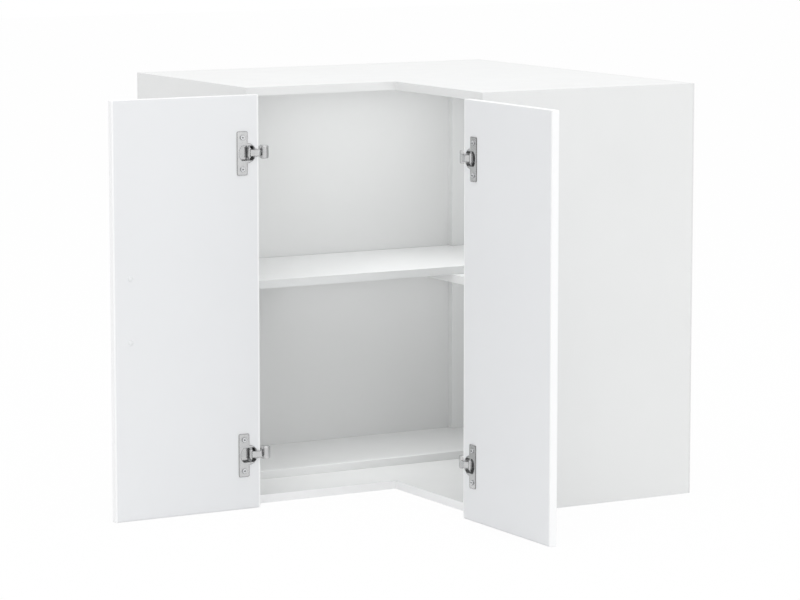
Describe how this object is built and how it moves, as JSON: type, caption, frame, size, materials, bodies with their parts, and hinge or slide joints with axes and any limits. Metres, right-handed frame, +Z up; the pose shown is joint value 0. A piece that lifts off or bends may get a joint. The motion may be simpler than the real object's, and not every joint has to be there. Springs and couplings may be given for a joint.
{
  "type": "corner wall cabinet",
  "caption": "Corner wall cabinet, L-shaped, with two doors on concealed wide-angle hinges, a stepped shelf and wall hanging brackets.",
  "frame": {"origin": "bottom end of the vertical line where the two walls meet", "axes": "+Z up; the left wing runs along -X and the right wing along -Y; both doors stand fully open at rest"},
  "size_m": [0.8228, 0.8228, 0.6],
  "materials": {
    "board": "satin white melamine on chipboard",
    "door_board": "satin white melamine on chipboard",
    "back_board": "white lacquered hardboard",
    "dowel_wood": "raw beech",
    "zinc_steel": "bright zinc plate",
    "zinc_casting": "die-cast zinc",
    "hinge_nickel": "nickel plate"
  },
  "bodies": {
    "carcass": {"top_panel": "board", "bottom_panel": "board", "left_side_panel": "board", "right_side_panel": "board", "corner_post": "board", "floor_batten": "board", "shelf_long": "board", "shelf_wing": "board", "back_panel_left": "back_board", "back_panel_right": "back_board", "carcass_dowels": "dowel_wood", "shelf_dowels": "dowel_wood", "back_panel_nails": "zinc_steel", "batten_screws": "zinc_steel", "bracket_screws": "zinc_steel", "cam_bolts": "zinc_steel", "shelf_pegs": "zinc_steel", "cam_discs": "zinc_casting", "hanging_bracket_left": "zinc_steel", "hanging_bracket_right": "zinc_steel", "left_hinge_arms": "hinge_nickel", "left_arm_pins": "zinc_steel", "left_arm_screws": "zinc_steel", "left_mounting_plates": "hinge_nickel", "left_plate_screws": "zinc_steel", "right_hinge_arms": "hinge_nickel", "right_arm_pins": "zinc_steel", "right_arm_screws": "zinc_steel", "right_mounting_plates": "hinge_nickel", "right_plate_screws": "zinc_steel"},
    "left_crank_body": {"left_hinge_cranks": "hinge_nickel"},
    "left_neck_body": {"left_goose_necks": "hinge_nickel", "left_knuckle_pins": "zinc_steel"},
    "left_door_body": {"left_door": "door_board", "left_hinge_cups": "hinge_nickel", "left_cup_screws": "zinc_steel", "left_cup_pins": "zinc_steel"},
    "right_crank_body": {"right_hinge_cranks": "hinge_nickel"},
    "right_neck_body": {"right_goose_necks": "hinge_nickel", "right_knuckle_pins": "zinc_steel"},
    "right_door_body": {"right_door": "door_board", "right_hinge_cups": "hinge_nickel", "right_cup_screws": "zinc_steel", "right_cup_pins": "zinc_steel"}
  },
  "joints": [
    {"name": "left_arm_pivot", "type": "hinge", "parent": "carcass", "child": "left_crank_body", "pos_m": [-0.58226, -0.35287, 0.294], "axis": [0, 0, 1], "range_deg": [0, 113.29]},
    {"name": "left_knuckle_pivot", "type": "hinge", "parent": "left_crank_body", "child": "left_neck_body", "pos_m": [-0.5836, -0.37037, 0.294], "axis": [0, 0, -1], "range_deg": [0, 95.48]},
    {"name": "left_door_pivot", "type": "hinge", "parent": "left_neck_body", "child": "left_door_body", "pos_m": [-0.60783, -0.37956, 0.294], "axis": [0, 0, 1], "range_deg": [0, 162.19]},
    {"name": "right_arm_pivot", "type": "hinge", "parent": "carcass", "child": "right_crank_body", "pos_m": [-0.35287, -0.58226, 0.294], "axis": [0, 0, -1], "range_deg": [0, 113.29]},
    {"name": "right_knuckle_pivot", "type": "hinge", "parent": "right_crank_body", "child": "right_neck_body", "pos_m": [-0.37037, -0.5836, 0.294], "axis": [0, 0, 1], "range_deg": [0, 95.48]},
    {"name": "right_door_pivot", "type": "hinge", "parent": "right_neck_body", "child": "right_door_body", "pos_m": [-0.37956, -0.60783, 0.294], "axis": [0, 0, -1], "range_deg": [0, 162.19]}
  ],
  "couplings": [
    {"joint": "left_arm_pivot", "follows": "left_knuckle_pivot", "ratio": 1.1866},
    {"joint": "left_door_pivot", "follows": "left_knuckle_pivot", "ratio": 1.6987},
    {"joint": "right_arm_pivot", "follows": "right_knuckle_pivot", "ratio": 1.1866},
    {"joint": "right_door_pivot", "follows": "right_knuckle_pivot", "ratio": 1.6987}
  ]
}
